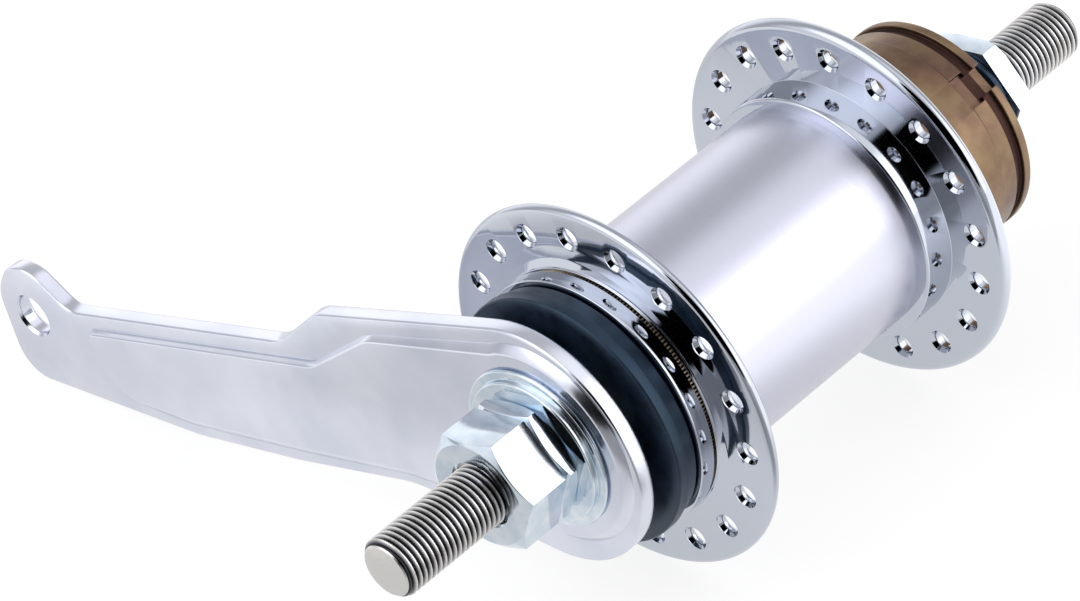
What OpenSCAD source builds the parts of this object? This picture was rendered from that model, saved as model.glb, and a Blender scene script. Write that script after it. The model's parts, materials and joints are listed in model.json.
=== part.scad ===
// Coaster brake hub for a rear bicycle wheel.
// The axle lies along Y, from the brake arm side (-Y) to the sprocket side (+Y), and Z is up.
// The origin is on the axle, midway between the outer faces of the two locknuts.
// The hub stands on the rims of its two spoke flanges and on the tip of its brake arm.

/* [Axle and nuts] */
// Outside diameter of the axle thread, 3/8 inch
axle_d = 9.525; // [9.3:0.025:9.8]
// Pitch of the axle thread, 26 turns to the inch
thread_pitch = 0.977; // [0.9:0.001:1.1]
// Distance between the outer faces of the two locknuts
over_locknuts = 110.2; // [109:0.1:113]
// Bare axle outside the left locknut
left_free_end = 19.2; // [14:0.1:24]
// Bare axle outside the right locknut
right_free_end = 17.6; // [14:0.1:24]
// Chamfer on both tips of the axle
tip_chamfer = 1; // [0.6:0.1:1.6]
// Width across the flats of the nuts
nut_flats = 17; // [16:0.1:19]
// Thickness of the left locknut
left_locknut_t = 7.6; // [6:0.1:8]
// Thickness of the thin nut that clamps the brake arm
arm_nut_t = 3.1; // [2.8:0.1:3.6]
// Thickness of the right locknut
right_locknut_t = 3.4; // [3:0.1:4]
// Thickness of the washer under the right locknut
right_washer_t = 1.2; // [1:0.1:1.5]

// Turn of the left nuts' first corner above the level
left_nut_turn = 7.3; // [0:0.1:60]
// Turn of the right locknut's first corner above the level
right_nut_turn = 4.6; // [0:0.1:60]

/* [Brake arm] */
// Distance from the axle to the clip hole
arm_reach = 114.2; // [108:0.2:120]
// Diameter of the clip hole
clip_hole_d = 6.6; // [6:0.1:7.4]
// Thickness of the arm's plate
arm_plate_t = 2.8; // [2.4:0.1:3.2]
// Height of the raised panel on the arm's outer face
arm_panel_rise = 1.1; // [0.6:0.1:1.4]
// Diameter of the arm's round end
arm_disc_d = 38.4; // [37:0.2:41]
// How far the centre of that round end lies from the axle towards the clip hole
arm_disc_shift = 2; // [1:0.1:3]
// How far that centre lies below the middle line of the arm
arm_disc_drop = 1; // [0.5:0.1:1.5]
// Diameter of the raised boss round the axle
arm_boss_d = 31.4; // [29:0.2:33]
// Width of the plain border round the raised panel
arm_border = 2.7; // [2:0.1:3.4]
// Diameter of the larger step of the arm's washer
washer_d = 25.6; // [24.4:0.2:27]
// Diameter of the smaller step of the arm's washer
washer_step_d = 22.8; // [21.6:0.2:23.8]
// Thickness of the arm's washer
washer_t = 1.7; // [1.4:0.1:2]

/* [Hub shell] */
// Diameter of the two spoke flanges
flange_d = 58.9; // [57.5:0.1:60]
// Thickness of the spoke flanges
flange_t = 2.4; // [2.2:0.1:2.6]
// Distance from the origin to the middle of the left flange
left_flange_y = 27.2; // [26.6:0.1:28]
// Distance from the origin to the middle of the right flange
right_flange_y = 24; // [23.5:0.1:24.5]
// Diameter of the circle of spoke holes
spoke_circle_d = 50; // [48.6:0.1:51]
// Diameter of a spoke hole
spoke_hole_d = 2.8; // [2.4:0.1:3]
// Spoke holes in each flange
spokes = 18; // [14:1:20]
// Turn of the left flange's first spoke hole above the level
left_spoke_turn = 14.6; // [0:0.1:20]
// Turn of the right flange's first spoke hole above the level
right_spoke_turn = 4.4; // [0:0.1:20]
// Diameter of the collar and the ring outside the left flange
outer_collar_d = 40.4; // [39.6:0.1:41]
// Length of the collar outside the left flange
outer_collar_len = 0.3; // [0.2:0.05:0.5]
// How far the collars on the inner faces of the flanges lie below that one
collar_step = 0.2; // [0:0.1:0.5]
// Length of the inner collars
inner_collar_len = 5.3; // [4.8:0.1:5.8]
// Wall of the inner collars over the barrel
collar_wall = 1.7; // [1.4:0.1:2]
// Wall of the barrel, in whose bore the shoes and the rollers act
barrel_wall = 2.6; // [2.4:0.1:2.8]
// How far the left cup's knurled rim lies below the outer collar
knurl_step = 0.4; // [0.4:0.1:0.7]
// Thickness of that knurled rim
knurl_t = 0.6; // [0.4:0.1:0.8]
// Length of the ring outside the knurled rim
shell_ring_len = 2.6; // [2.4:0.1:2.8]
// How far the dust cap's lip lies below the outer collar
dust_lip_step = 0.1; // [0:0.1:0.5]
// How far the dust cap's skirt lies below its lip
dust_skirt_step = 0.6; // [0.4:0.1:0.8]
// Thickness of the dust cap's sheet
dust_sheet = 1; // [0.8:0.1:1.2]
// Space between the arm and the dust cap
dust_cap_gap = 2.4; // [2:0.1:2.6]

/* [Driver] */
// Diameter of the driver's plain band
driver_d = 35.4; // [35.2:0.1:35.8]
// Diameter of the sprocket's seat
seat_d = 34.8; // [34.4:0.1:34.8]
// How far the driver stands out of the right flange
driver_reach = 19.1; // [18.5:0.1:19.4]
// Width of the driver's end rim
driver_rim = 1.5; // [1.3:0.1:1.7]
// Width of the groove for the sprocket's snap ring
snap_groove = 1.8; // [1.6:0.1:2]
// Depth of that groove
snap_depth = 0.7; // [0.5:0.1:0.9]
// Width of the sprocket's seat
seat_len = 3; // [2.6:0.1:3.2]
// Slots in the driver for the sprocket's lugs
lug_slots = 3; // [3:1:4]
// Turn of the first slot above the level
lug_turn = 46.1; // [0:0.1:120]
// Width of a slot at its mouth
lug_mouth = 4; // [3.6:0.1:4.6]
// Width of a slot in the sprocket's seat
lug_width = 5.3; // [4.8:0.1:5.8]
// Depth of a slot
lug_depth = 2; // [1.4:0.1:2.2]

/* [Bearings] */
// Diameter of the balls of the left bearing, 1/4 inch
left_ball_d = 6.35; // [6.2:0.05:6.4]
// Balls in the left bearing
left_ball_count = 10; // [8:1:11]
// How far inside the outer collar the left balls run
left_race_depth = 6.8; // [6.7:0.05:6.9]
// Diameter of the balls of the two right bearings, 3/16 inch
right_ball_d = 4.7625; // [4.7:0.0125:4.8]
// Balls in the bearing between the driver and the shell
outer_ball_count = 13; // [10:1:14]
// How far inside the barrel's bore those balls run
right_race_depth = 2.3; // [2.2:0.05:2.35]
// Balls in the bearing between the right cone and the driver
inner_ball_count = 8; // [7:1:9]
// Radius at which those balls run
inner_pitch_r = 9.6; // [9.5:0.05:9.7]

/* [Brake and clutch] */
// Length of the slope of each brake cone along the axle
taper_len = 7.9; // [7.7:0.1:8.1]
// Radius of the small end of the brake cones
taper_tip_r = 7.3; // [7.2:0.05:7.4]
// Travel of the clutch cone along the axle when the brake is applied
brake_travel = 1.4; // [1.2:0.1:1.6]
// Gap between two neighbouring shoes
shoe_gap = 3.4; // [3:0.1:3.8]
// Wire diameter of the spring ring round the shoes
shoe_wire_d = 1.4; // [1.2:0.1:1.6]
// Diameter of a roller
roller_d = 5; // [4.9:0.05:5.1]
// Length of a roller
roller_len = 9.2; // [8.8:0.1:9.6]
// Turn of the roller guide on the driver when the clutch takes hold
guide_turn = 8; // [6:0.5:9]
// Radial climb of the rollers in that turn
roller_climb = 0.27; // [0.2:0.01:0.28]
// Thickness of the clutch cone's plate
clutch_plate_t = 4.2; // [3.8:0.1:4.6]
// Height of the dogs between the clutch cone and the guide
dog_h = 1.6; // [1.4:0.1:1.8]

/* [Clearances] */
// Radial play of a running or sliding fit
run_play = 0.05; // [0.03:0.01:0.08]
// Play between pieces that pass without touching
pass_gap = 0.3; // [0.25:0.01:0.35]
// Radial play between the brake cones and the shoes
shoe_play = 0.25; // [0.22:0.01:0.3]
// Least gap left at the end of a travel
end_gap = 0.08; // [0.06:0.01:0.1]

/* [Hidden] */
$fn = 96;

// How far a cutting shape stands past what it cuts
over = 0.5;

// Rollers and shoes, each with a node of its own above
rollers = 5;
shoes = 3;

// Colours of the finishes
chrome = [0.86, 0.87, 0.9];
zinc = [0.74, 0.79, 0.84];
nickel = [0.82, 0.81, 0.86];
black_sheet = [0.13, 0.14, 0.17];
brown_steel = [0.5, 0.38, 0.29];
dark_steel = [0.45, 0.45, 0.47];
ball_steel = [0.75, 0.76, 0.78];
bronze = [0.62, 0.47, 0.28];

// The axle is drawn with rings for its thread where it is bare,
// and at the mean diameter of the thread where pieces are screwed or slid onto it.
axle_r = axle_d / 2;
thread_groove = 0.48 * thread_pitch;
thread_groove_depth = thread_groove / 2 / tan(30);
axle_core_r = axle_r - 0.325 * thread_pitch;
axle_hole_r = axle_core_r + run_play;
washer_hole_r = axle_r + 2 * run_play;

// Left stack, from the locknut's outer face inwards
left_face = -over_locknuts / 2;
arm_nut_front = left_face + left_locknut_t;
washer_front = arm_nut_front + arm_nut_t;
panel_front = washer_front + washer_t;
plate_front = panel_front + arm_panel_rise;
arm_back = plate_front + arm_plate_t;
dust_front = arm_back + dust_cap_gap;
washer_step_y = washer_front + washer_t * 0.55;

// Left end of the shell
left_flange_front = -left_flange_y - flange_t / 2;
left_flange_back = -left_flange_y + flange_t / 2;
left_collar_front = left_flange_front - outer_collar_len;
knurl_front = left_collar_front - knurl_t;
shell_ring_front = knurl_front - shell_ring_len;
dust_back = shell_ring_front - pass_gap;
left_ball_inset = 2.1;
left_ball_y = shell_ring_front + left_ball_inset;
outer_collar_r = outer_collar_d / 2;
inner_collar_r = outer_collar_r - collar_step;
knurl_r = outer_collar_r - knurl_step;
dust_lip_r = outer_collar_r - dust_lip_step;
dust_skirt_r = dust_lip_r - dust_skirt_step;
left_pitch_r = outer_collar_r - left_race_depth;
left_track_r = left_ball_d / 2 + run_play;
cup_wall = 1.2;
ring_floor = 0.8;
cup_mouth_r = left_pitch_r + 0.8;
cage_web = 0.6;
cage_reach = 0.36;
left_cup_r = left_pitch_r + left_track_r + cup_wall;
left_cup_front = shell_ring_front + ring_floor;
left_cup_back = left_ball_y + left_track_r + 0.8;
left_neck_r = left_pitch_r - left_track_r;

// Right end of the shell
right_flange_front = right_flange_y - flange_t / 2;
right_flange_back = right_flange_y + flange_t / 2;
barrel_r = inner_collar_r - collar_wall;
bore_r = barrel_r - barrel_wall;
outer_pitch_r = bore_r - right_race_depth;
race_inset = 2.2;
cup_floor = 1.05;
right_ball_y = right_flange_back - race_inset;
right_track_r = right_ball_d / 2 + run_play;
right_cup_r = outer_pitch_r + right_track_r + cup_wall;
right_cup_front = right_ball_y - right_track_r - cup_floor;
right_mouth_r = outer_pitch_r + 0.6;
outer_neck_r = outer_pitch_r - right_track_r;

// Driver and right cone
driver_r = driver_d / 2;
seat_r = seat_d / 2;
driver_front = right_flange_back + pass_gap + 0.1;
driver_end = right_flange_back + driver_reach;
groove_end = driver_end - driver_rim;
groove_start = groove_end - snap_groove;
seat_start = groove_start - seat_len;
inner_race_inset = 4.8;
inner_ball_y = driver_end - inner_race_inset;
inner_neck_r = inner_pitch_r - right_track_r;
inner_cup_r = inner_pitch_r + right_track_r;
right_face = over_locknuts / 2;
right_nut_back = right_face - right_locknut_t;
right_cone_end = right_nut_back - right_washer_t;
right_cone_start = inner_ball_y - right_track_r - 0.3;
cone_collar_r = 8.8;
dust_ring_r = 14;
dust_ring_t = 1;
driver_bore_r = axle_core_r + 0.8;
lug_relief = 0.3;

// Clutch and shoes, from the right cup inwards
guide_end = right_cup_front - 0.5;
cam_end = guide_end + 0.2;
roller_end = guide_end - 0.4;
roller_start = roller_end - roller_len;
guide_ring_t = 2.7;
guide_back = roller_start - 0.2;
guide_front = guide_back - guide_ring_t;
plate_back = guide_front - pass_gap - dog_h;
clutch_front = plate_back - clutch_plate_t;
taper_angle = atan((left_neck_r - taper_tip_r) / taper_len);
shoe_shift = brake_travel / 2;
shoe_rise = shoe_shift * tan(taper_angle);
shoe_right = clutch_front - shoe_shift - 0.2;
shoe_left = left_cup_back + shoe_shift + 0.4;
shoe_mid = (shoe_left + shoe_right) / 2;
taper_start = shoe_left - shoe_shift - 0.2;
shoe_r = bore_r - shoe_rise - end_gap;
nose_len = 3.5;
nose_end = taper_start + taper_len + nose_len;
recess_depth = 4;
recess_r = taper_tip_r - 0.7;
clutch_nose_r = axle_hole_r + 1;
drag_wire_d = recess_r - clutch_nose_r - 0.2;
clutch_tip = nose_end - 1.5;

// Rollers and the cam on the driver
roller_r = roller_d / 2;
roller_pitch_r = bore_r - roller_r - roller_climb - end_gap;
cam_play = 0.12;
cam_rest_r = roller_pitch_r - roller_r - cam_play;
cam_slope = roller_climb / guide_turn;
cam_low_r = cam_rest_r - 0.9;
cam_first = -5;
cam_last = guide_turn + 7;
cam_steps = 8;
spigot_r = 7;
spigot_front = guide_front + 0.3;
guide_r = bore_r - 0.4;
guide_inner_r = cam_rest_r + 1;
guide_ring_r = spigot_r + run_play;
dog_start_r = spigot_r + 0.6;
dog_reach = 4.4;
plate_r = dog_start_r + dog_reach;

// Keyed end of the brake cone
key_r = 7;
key_flat = 5.6;
cone_collar_left_r = 11;
race_shoulder_r = left_pitch_r - 1;

// Keys on the brake cone that stop the shoes from turning with the shell
key_len = 4.2;
key_drop = 1.6;

// Arm outline in the arm's own frame: u runs from the axle to the clip hole and v points up.
// Each corner is [u, v, corner radius].
arm_disc_r = arm_disc_d / 2;
arm_boss_r = arm_boss_d / 2;
arm_tip_u = arm_reach + 7.4;
heel_r = 5.5;
heel = 7;
arm_corners = [[4, arm_disc_r - arm_disc_drop - 0.3, 0], [arm_reach * 0.372, 13.4, 7], [arm_reach * 0.468, 6.6, 9],
    [arm_reach - 9.6, 2.4, 5], [arm_reach - 4.2, 7.6, 6], [arm_reach + 1.2, 10, 6],
    [arm_tip_u - 0.6, 3.4, 7], [arm_tip_u, -11.6, heel_r], [arm_reach * 0.72, -15.7, 40],
    [arm_reach * 0.52, -15.5, 40], [arm_reach * 0.29, -14, 25], [7, 1 - arm_disc_r - arm_disc_drop, 0]];
panel_corners = [[4, arm_boss_r - 0.6, 0], [arm_reach * 0.275, 14.8 - arm_border, 8],
    [arm_reach * 0.405, 7.2 - arm_border, 9], [arm_reach - 14, 2.8 - arm_border, 1.5],
    [arm_reach - 14.4, -14 + arm_border, 8], [arm_reach * 0.72, -15.7 + arm_border, 40],
    [arm_reach * 0.5, -15.4 + arm_border, 40], [arm_reach * 0.29, -14.6 + arm_border, 25],
    [8, -arm_boss_r + 1.6, 0]];

// The arm dips until its heel touches the plane under the two flanges
heel_in = corner_centre(flat(arm_corners[heel - 1]), flat(arm_corners[heel]),
    flat(arm_corners[heel + 1]), heel_r);
arm_dip = asin((flange_d / 2 - heel_r) / norm(heel_in)) - atan2(-heel_in[1], heel_in[0]);

function unit(v) = v / norm(v);
function flat(p) = [p[0], p[1]];

// Centre of the arc that rounds corner p between its neighbours a and b
function corner_centre(a, p, b, r) =
    let (to_a = unit(a - p), to_b = unit(b - p))
    p + unit(to_a + to_b) * r / sin(acos(to_a * to_b) / 2);

// Points of the arc that rounds corner p between its neighbours a and b
function corner_arc(a, p, b, r, n = 6) = r == 0 ? [p] :
    let (to_a = unit(a - p), to_b = unit(b - p), half = acos(to_a * to_b) / 2,
        c = corner_centre(a, p, b, r),
        s = p + to_a * r / tan(half) - c, e = p + to_b * r / tan(half) - c,
        first = atan2(s[1], s[0]), turn = (atan2(e[1], e[0]) - first + 540) % 360 - 180)
    [for (i = [0 : n]) c + r * [cos(first + turn * i / n), sin(first + turn * i / n)]];

function rounded(corners) = [for (i = [0 : len(corners) - 1])
    let (n = len(corners), a = corners[(i + n - 1) % n], p = corners[i], b = corners[(i + 1) % n])
    each corner_arc(flat(a), flat(p), flat(b), p[2])];

// A turned shape round the axle, from points [radius, place along the axle]
module turned(points) {
    rotate([-90, 0, 0]) rotate_extrude() polygon(points);
}

// A round bar along the axle
module bar(r, from, to) {
    translate([0, from, 0]) rotate([-90, 0, 0]) cylinder(r = r, h = to - from);
}

// A ring of round wire or the track of a row of balls
module hoop(r, wire_r, y) {
    translate([0, y, 0]) rotate([-90, 0, 0]) rotate_extrude() translate([r, 0]) circle(wire_r);
}

// Copies spaced evenly round the axle, the first turned up from +X towards +Z
module round_axle(n, first = 0) {
    for (i = [0 : n - 1]) rotate([0, -first - i * 360 / n, 0]) children();
}

// A hexagonal nut with its corners chamfered at one or both ends
module hex_nut(from, to, turn, front_chamfer, back_chamfer) {
    corner_r = nut_flats / 2 / cos(30);
    face_r = nut_flats / 2 - 0.3;
    outer_r = corner_r + over;
    drop = (outer_r - face_r) * tan(30);
    mouth = 0.6;
    hole_r = axle_hole_r;
    difference() {
        intersection() {
            translate([0, from, 0]) rotate([0, -turn, 0]) rotate([-90, 0, 0])
                cylinder(r = corner_r, h = to - from, $fn = 6);
            turned(concat([[0, from]],
                front_chamfer ? [[face_r, from], [outer_r, from + drop]] : [[outer_r, from]],
                back_chamfer ? [[outer_r, to - drop], [face_r, to]] : [[outer_r, to]], [[0, to]]));
        }
        bar(hole_r, from - over, to + over);
        if (front_chamfer) turned([[0, from - over], [hole_r + mouth + over, from - over],
            [hole_r, from + mouth], [0, from + mouth]]);
        if (back_chamfer) turned([[0, to + over], [hole_r + mouth + over, to + over],
            [hole_r, to - mouth], [0, to - mouth]]);
    }
}

// Outline of the thread's ring grooves, as many as fit between two places
function thread_rings(from, to) =
    let (count = floor((to - from) / thread_pitch), first = (from + to - (count - 1) * thread_pitch) / 2)
    [for (i = [0 : count - 1]) let (y = first + i * thread_pitch)
        each [[axle_r, y - thread_groove / 2], [axle_r - thread_groove_depth, y],
            [axle_r, y + thread_groove / 2]]];

module axle() {
    left_tip = left_face - left_free_end;
    right_tip = right_face + right_free_end;
    color(dark_steel) turned(concat([[0, left_tip], [axle_r - tip_chamfer, left_tip],
        [axle_r, left_tip + tip_chamfer]], thread_rings(left_tip + tip_chamfer, left_face),
        [[axle_r, left_face], [axle_core_r, left_face], [axle_core_r, right_face], [axle_r, right_face]],
        thread_rings(right_face, right_tip - tip_chamfer),
        [[axle_r, right_tip - tip_chamfer], [axle_r - tip_chamfer, right_tip], [0, right_tip]]));
}

module left_locknut() {
    color(zinc) hex_nut(left_face, arm_nut_front, left_nut_turn, true, false);
}

module arm_nut() {
    color(zinc) hex_nut(arm_nut_front, washer_front, left_nut_turn, false, false);
}

module right_locknut() {
    color(zinc) hex_nut(right_nut_back, right_face, right_nut_turn, false, true);
}

// Stepped washer between the arm and its nut
module arm_washer() {
    color(zinc) turned([[washer_hole_r, washer_front], [washer_step_d / 2, washer_front],
        [washer_step_d / 2, washer_step_y], [washer_d / 2, washer_step_y],
        [washer_d / 2, panel_front], [washer_hole_r, panel_front]]);
}

// Puts a flat outline of the arm upright, its thickness along the axle
module arm_slab(from, to) {
    translate([0, from, 0]) rotate([0, -arm_dip, 0]) rotate([90, 0, 180])
        linear_extrude(to - from) children();
}

module key_outline(play) {
    intersection() {
        circle(key_r + play);
        square([3 * key_r, 2 * (key_flat + play)], center = true);
    }
}

module brake_arm() {
    color(nickel) difference() {
        union() {
            arm_slab(plate_front, arm_back) polygon(rounded(arm_corners));
            arm_slab(plate_front, arm_back) translate([arm_disc_shift, -arm_disc_drop]) circle(arm_disc_r);
            arm_slab(panel_front, plate_front) polygon(rounded(panel_corners));
            bar(arm_boss_r, panel_front, plate_front);
        }
        arm_slab(panel_front - over, arm_back + over) key_outline(run_play);
        arm_slab(panel_front - over, arm_back + over) translate([arm_reach, 0]) circle(clip_hole_d / 2);
    }
}

// Pressed cap between the arm and the shell, seated on the neck of the brake cone
module left_dust_cap() {
    lip_back = dust_front + dust_sheet;
    color(black_sheet) turned([[cone_collar_left_r, dust_front], [dust_lip_r, dust_front],
        [dust_lip_r, lip_back], [dust_skirt_r, lip_back + 0.4], [dust_skirt_r, dust_back],
        [dust_skirt_r - dust_sheet, dust_back], [dust_skirt_r - dust_sheet, lip_back],
        [cone_collar_left_r, lip_back]]);
}

// Fixed cone: ball race outside, brake taper inside, keyed to the arm
module brake_cone() {
    shoulder_front = dust_front + dust_sheet;
    taper_end = taper_start + taper_len;
    color(dark_steel) difference() {
        union() {
            arm_slab(panel_front + 0.2, arm_back) key_outline(0);
            turned([[0, arm_back], [cone_collar_left_r, arm_back], [cone_collar_left_r, shoulder_front],
                [race_shoulder_r, shoulder_front], [race_shoulder_r, left_ball_y - 1],
                [left_neck_r, left_ball_y], [left_neck_r, taper_start], [taper_tip_r, taper_end],
                [taper_tip_r, nose_end], [0, nose_end]]);
            round_axle(shoes, 90) translate([taper_tip_r, taper_start, -shoe_gap / 2 + pass_gap])
                cube([shoe_r - key_drop - taper_tip_r, key_len, shoe_gap - 2 * pass_gap]);
        }
        hoop(left_pitch_r, left_track_r, left_ball_y);
        bar(axle_hole_r, panel_front, nose_end + over);
        bar(recess_r, nose_end - recess_depth, nose_end + over);
    }
}

// Open wire ring in the brake cone's mouth that drags on the clutch cone's nose
module drag_spring() {
    ring_r = (recess_r + clutch_nose_r) / 2;
    gap = 2;
    color(ball_steel) difference() {
        hoop(ring_r, drag_wire_d / 2, nose_end - 1);
        translate([0, nose_end - 2, -gap / 2]) cube([2 * ring_r, 2, gap]);
    }
}

module right_cone() {
    flats = 15;
    wrench_start = driver_end + 0.5;
    color(zinc) difference() {
        union() {
            turned([[0, right_cone_start], [inner_neck_r, right_cone_start], [inner_neck_r, inner_ball_y],
                [cone_collar_r, inner_ball_y + 1], [cone_collar_r, wrench_start], [0, wrench_start]]);
            intersection() {
                bar(cone_collar_r, wrench_start, right_cone_end);
                translate([-flats / 2, wrench_start, -cone_collar_r])
                    cube([flats, right_cone_end - wrench_start, 2 * cone_collar_r]);
            }
        }
        hoop(inner_pitch_r, right_track_r, inner_ball_y);
        bar(axle_hole_r, right_cone_start - over, right_cone_end + over);
    }
}

module right_washer() {
    color(zinc) difference() {
        bar(nut_flats / 2 - 0.2, right_cone_end, right_nut_back);
        bar(axle_hole_r, right_cone_end - over, right_nut_back + over);
    }
}

// Central tube of the shell
module hub_barrel() {
    color(chrome) turned([[bore_r, left_cup_back], [barrel_r, left_cup_back],
        [barrel_r, right_flange_back], [right_cup_r, right_flange_back], [right_cup_r, right_cup_front],
        [bore_r, right_cup_front]]);
}

// Spoke holes with a countersink on both faces
module spoke_holes(front, turn) {
    hole_r = spoke_hole_d / 2;
    sink = 0.45;
    round_axle(spokes, turn) translate([spoke_circle_d / 2, front, 0]) rotate([-90, 0, 0]) {
        translate([0, 0, -over]) cylinder(r = hole_r, h = flange_t + 2 * over, $fn = 32);
        translate([0, 0, -over])
            cylinder(r1 = hole_r + sink + over, r2 = hole_r, h = sink + over, $fn = 32);
        translate([0, 0, flange_t - sink])
            cylinder(r1 = hole_r, r2 = hole_r + sink + over, h = sink + over, $fn = 32);
    }
}

module flange_disc(inner_r, front) {
    rim_r = flange_t / 2;
    turned([[inner_r, front], [flange_d / 2 - rim_r, front], [flange_d / 2 - rim_r, front + flange_t],
        [inner_r, front + flange_t]]);
    hoop(flange_d / 2 - rim_r, rim_r, front + rim_r);
}

module left_flange() {
    color(chrome) difference() {
        union() {
            flange_disc(barrel_r, left_flange_front);
            turned([[left_cup_r, left_collar_front], [outer_collar_r, left_collar_front],
                [outer_collar_r, left_flange_front + over], [inner_collar_r, left_flange_front + over],
                [inner_collar_r, left_flange_back + inner_collar_len],
                [barrel_r, left_flange_back + inner_collar_len], [barrel_r, left_cup_back],
                [left_cup_r, left_cup_back]]);
        }
        spoke_holes(left_flange_front, left_spoke_turn);
    }
}

module right_flange() {
    color(chrome) difference() {
        union() {
            flange_disc(barrel_r, right_flange_front);
            turned([[barrel_r, right_flange_front - inner_collar_len],
                [inner_collar_r, right_flange_front - inner_collar_len],
                [inner_collar_r, right_flange_front + over], [barrel_r, right_flange_front + over]]);
        }
        spoke_holes(right_flange_front, right_spoke_turn);
    }
}

// Hardened race pressed into the shell, with a knurled rim that shows outside
module left_ball_cup() {
    color(brown_steel) difference() {
        turned([[cup_mouth_r, left_cup_front], [left_cup_r, left_cup_front],
            [left_cup_r, knurl_front], [knurl_r, knurl_front], [knurl_r, left_collar_front],
            [left_cup_r, left_collar_front], [left_cup_r, left_cup_back],
            [cup_mouth_r, left_cup_back]]);
        hoop(left_pitch_r, left_track_r, left_ball_y);
    }
}

module left_shell_ring() {
    ring_r = left_cup_r - 1;
    color(chrome) turned([[ring_r, shell_ring_front], [outer_collar_r, shell_ring_front],
        [outer_collar_r, knurl_front], [left_cup_r, knurl_front], [left_cup_r, left_cup_front],
        [ring_r, left_cup_front]]);
}

module right_ball_cup() {
    color(brown_steel) difference() {
        turned([[right_mouth_r, right_cup_front], [right_cup_r, right_cup_front],
            [right_cup_r, right_flange_back], [right_mouth_r, right_flange_back]]);
        hoop(outer_pitch_r, right_track_r, right_ball_y);
    }
}

module balls(n, d, pitch_r, y) {
    color(ball_steel) round_axle(n) translate([pitch_r, y, 0]) sphere(d / 2);
}

// Ring beside a row of balls, with a dimple for each ball
module ball_cage(n, d, pitch_r, y, inner_r, outer_r, from, to) {
    color(bronze) difference() {
        turned([[inner_r, from], [outer_r, from], [outer_r, to], [inner_r, to]]);
        round_axle(n) translate([pitch_r, y, 0]) sphere(d / 2 + 2 * run_play);
    }
}

module left_balls() {
    balls(left_ball_count, left_ball_d, left_pitch_r, left_ball_y);
}

module left_ball_cage() {
    ball_cage(left_ball_count, left_ball_d, left_pitch_r, left_ball_y, race_shoulder_r + pass_gap,
        left_pitch_r + 2.6, left_ball_y - left_track_r - cage_web, left_ball_y - left_ball_d * cage_reach);
}

module right_outer_balls() {
    balls(outer_ball_count, right_ball_d, outer_pitch_r, right_ball_y);
}

module right_outer_cage() {
    ball_cage(outer_ball_count, right_ball_d, outer_pitch_r, right_ball_y, outer_neck_r + pass_gap,
        outer_pitch_r + 0.3, right_ball_y - right_track_r - cage_web, right_ball_y - right_ball_d * cage_reach);
}

module right_inner_balls() {
    balls(inner_ball_count, right_ball_d, inner_pitch_r, inner_ball_y);
}

module right_inner_cage() {
    ball_cage(inner_ball_count, right_ball_d, inner_pitch_r, inner_ball_y, cone_collar_r + pass_gap,
        inner_cup_r - pass_gap, inner_ball_y + right_ball_d * cage_reach, inner_ball_y + right_track_r + cage_web);
}

// Spiral ramps under the rollers. The radius grows evenly with the turn.
function cam_point(k, a) =
    let (r = cam_rest_r + cam_slope * a, t = a + k * 360 / rollers) r * [cos(t), sin(t)];
function cam_foot(k, a) = cam_low_r * [cos(a + k * 360 / rollers), sin(a + k * 360 / rollers)];
function cam_points() = [for (k = [0 : rollers - 1]) each
    [cam_foot(k, cam_first - 1),
        for (i = [0 : cam_steps]) cam_point(k, cam_first + (cam_last - cam_first) * i / cam_steps),
        cam_foot(k, cam_last + 1)]];

// Slots for the lugs of the sprocket, wider in the seat than at the mouth
module lug_slots() {
    round_axle(lug_slots, lug_turn) translate([driver_r - lug_depth, 0, 0]) {
        translate([0, seat_start - lug_relief, -lug_width / 2])
            cube([2 * lug_depth, seat_len + 2 * lug_relief, lug_width]);
        translate([0, seat_start, -lug_mouth / 2])
            cube([2 * lug_depth, driver_end + over - seat_start, lug_mouth]);
    }
}

module driver() {
    edge = 0.3;
    color(brown_steel) difference() {
        union() {
            bar(spigot_r, spigot_front, guide_back + 1);
            translate([0, guide_back + 0.3, 0]) rotate([-90, 0, 0])
                linear_extrude(cam_end - guide_back - 0.3) polygon(cam_points());
            turned([[0, cam_end - 1], [spigot_r, cam_end - 1], [spigot_r, cam_end],
                [outer_neck_r, cam_end], [outer_neck_r, right_ball_y],
                [outer_pitch_r - 0.8, right_ball_y + 0.5], [outer_pitch_r - 0.8, driver_front],
                [driver_r, driver_front], [driver_r, seat_start], [seat_r, seat_start],
                [seat_r, groove_start], [seat_r - snap_depth, groove_start],
                [seat_r - snap_depth, groove_end], [seat_r, groove_end],
                [seat_r, driver_end - edge], [seat_r - edge, driver_end], [0, driver_end]]);
        }
        hoop(outer_pitch_r, right_track_r, right_ball_y);
        bar(driver_bore_r, spigot_front - over, driver_end);
        bar(inner_neck_r + pass_gap, right_cone_start - 1, driver_end);
        bar(inner_cup_r - 0.9, inner_ball_y - right_ball_d * 0.5, driver_end);
        bar(inner_cup_r, inner_ball_y, driver_end);
        hoop(inner_pitch_r, right_track_r, inner_ball_y);
        bar(dust_ring_r, driver_end - dust_ring_t, driver_end + over);
        lug_slots();
    }
}

// Pressed ring that closes the driver's mouth round the right cone
module driver_dust_ring() {
    color(black_sheet) difference() {
        bar(dust_ring_r, driver_end - dust_ring_t, driver_end - 0.2);
        bar(cone_collar_r + pass_gap, driver_end - dust_ring_t - over, driver_end + over);
    }
}

// One dog: a block with sloping flanks, as an outline [round the axle, along the axle]
module dog(root_w, top_w) {
    rotate([90, 0, 90]) linear_extrude(dog_reach)
        polygon([[-root_w / 2, -over], [root_w / 2, -over], [root_w / 2, 0], [top_w / 2, dog_h],
            [-top_w / 2, dog_h], [-root_w / 2, 0]]);
}

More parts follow.
